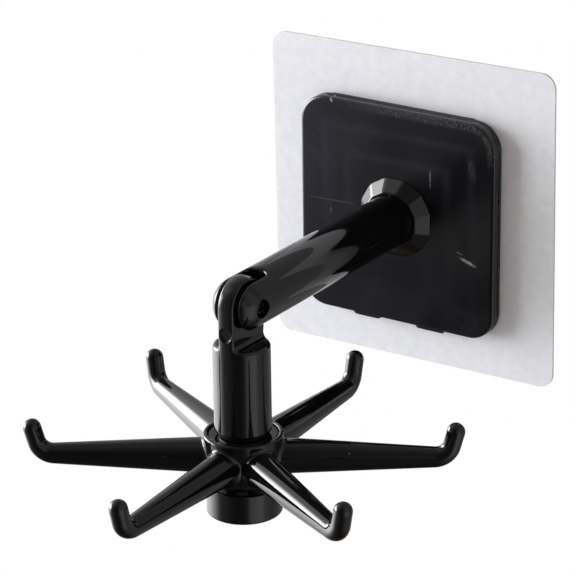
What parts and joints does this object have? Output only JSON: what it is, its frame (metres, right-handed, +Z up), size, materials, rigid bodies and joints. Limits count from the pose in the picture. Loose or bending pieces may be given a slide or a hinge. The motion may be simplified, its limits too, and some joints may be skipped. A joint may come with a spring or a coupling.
{
  "type": "rotating utensil hook rack",
  "caption": "Wall-stuck rack: a square clear film and plate carry a round arm with a folding post, on which a wheel of upturned hooks turns freely.",
  "frame": {"origin": "the point of the wall that the arm's axis meets, on the back of the adhesive", "axes": "+Z up, +Y into the wall, so the arm runs out along -Y and +X is to the right of someone who faces the wall"},
  "size_m": [0.1074, 0.1465, 0.1118],
  "materials": {
    "gloss_black_plastic": "injection-moulded, polished",
    "satin_black_plastic": "injection-moulded, satin, with faint sink marks and scratches",
    "frosted_film": "clear film, frosted and a little mottled",
    "clear_adhesive": "clear pressure-sensitive layer",
    "zinc_steel": "zinc plated",
    "black_steel": "black oxide",
    "nylon": "natural nylon"
  },
  "bodies": {
    "wall_mount": {"sticker_adhesive": "clear_adhesive", "sticker_film": "frosted_film", "back_plate": "satin_black_plastic", "front_plate": "satin_black_plastic", "faceted_collar": "gloss_black_plastic", "arm": "gloss_black_plastic", "arm_screw": "zinc_steel", "arm_screw_washer": "zinc_steel", "hinge_screw": "black_steel", "hinge_nut": "zinc_steel", "hinge_washer_left": "nylon", "hinge_washer_right": "nylon"},
    "post": {"post": "gloss_black_plastic", "wheel_screw": "zinc_steel", "wheel_washer": "zinc_steel"},
    "wheel": {"hook_wheel": "gloss_black_plastic", "bottom_cap": "gloss_black_plastic", "thrust_washer": "gloss_black_plastic"}
  },
  "joints": [
    {"name": "fold", "type": "hinge", "parent": "wall_mount", "child": "post", "pos_m": [0, -0.0852, 0], "axis": [-1, 0, 0], "range_deg": [0, 180]},
    {"name": "wheel_spin", "type": "hinge", "parent": "post", "child": "wheel", "pos_m": [0, -0.0852, -0.045], "axis": [0, 0, 1], "continuous": true}
  ]
}
